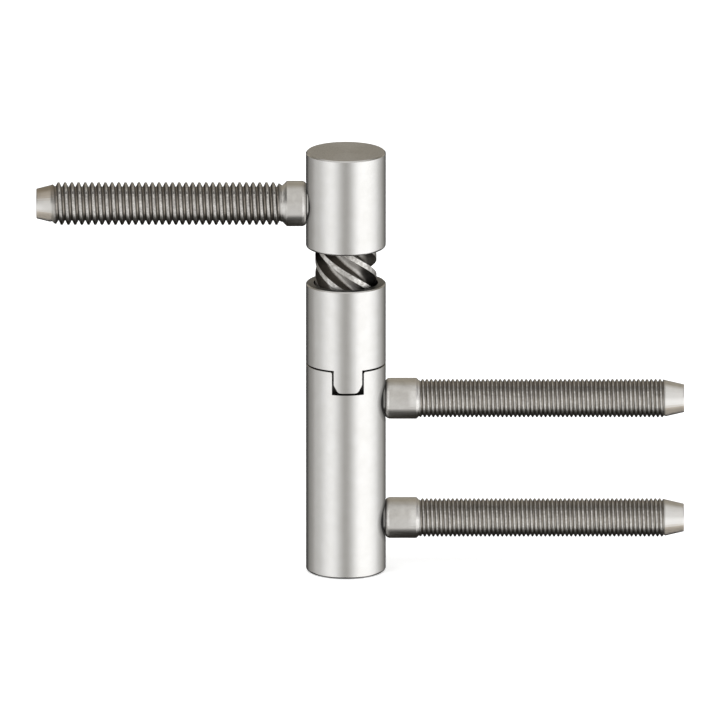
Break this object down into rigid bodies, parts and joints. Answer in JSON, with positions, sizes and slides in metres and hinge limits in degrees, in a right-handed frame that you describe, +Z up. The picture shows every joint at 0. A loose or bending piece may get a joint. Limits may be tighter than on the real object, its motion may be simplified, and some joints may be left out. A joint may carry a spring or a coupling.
{
  "type": "drill-in hinge",
  "caption": "Rising drill-in hinge: a steep left-handed screw between barrels lifts the door as it swings; threaded pins fix one barrel to the door and one to the frame.",
  "frame": {"origin": "centre of the flat foot of the frame barrel, on the hinge axis", "axes": "+Z up the hinge axis, +X along the two frame pins away from the barrel, -Y towards the notch and tongue"},
  "size_m": [0.1215, 0.015, 0.0811],
  "materials": {
    "satin_nickel": "satin nickel plate",
    "thread_steel": "bare rolled steel, dull and slightly oiled",
    "screw_steel": "oiled steel, lands worn bright",
    "ground_steel": "ground steel",
    "nut_acetal": "black acetal, greased",
    "bush_acetal": "natural acetal"
  },
  "bodies": {
    "frame": {"frame_barrel": "satin_nickel", "frame_pin_lower": "thread_steel", "frame_pin_upper": "thread_steel", "middle_sleeve": "satin_nickel", "helix_nut": "nut_acetal", "centring_ring": "ground_steel", "guide_bush": "bush_acetal"},
    "guide": {"guide_pin": "ground_steel"},
    "door": {"door_barrel": "satin_nickel", "door_pin": "thread_steel", "helix_spindle": "screw_steel"}
  },
  "joints": [
    {"name": "door_rise", "type": "slide", "parent": "frame", "child": "guide", "axis": [0, 0, 1], "range_m": [-0.0068, 0.0045]},
    {"name": "door_swing", "type": "hinge", "parent": "guide", "child": "door", "pos_m": [0, 0, 0.071], "axis": [0, 0, 1], "range_deg": [-70, 106]}
  ],
  "couplings": [
    {"joint": "door_rise", "follows": "door_swing", "m_per_rad": -0.0036606}
  ]
}
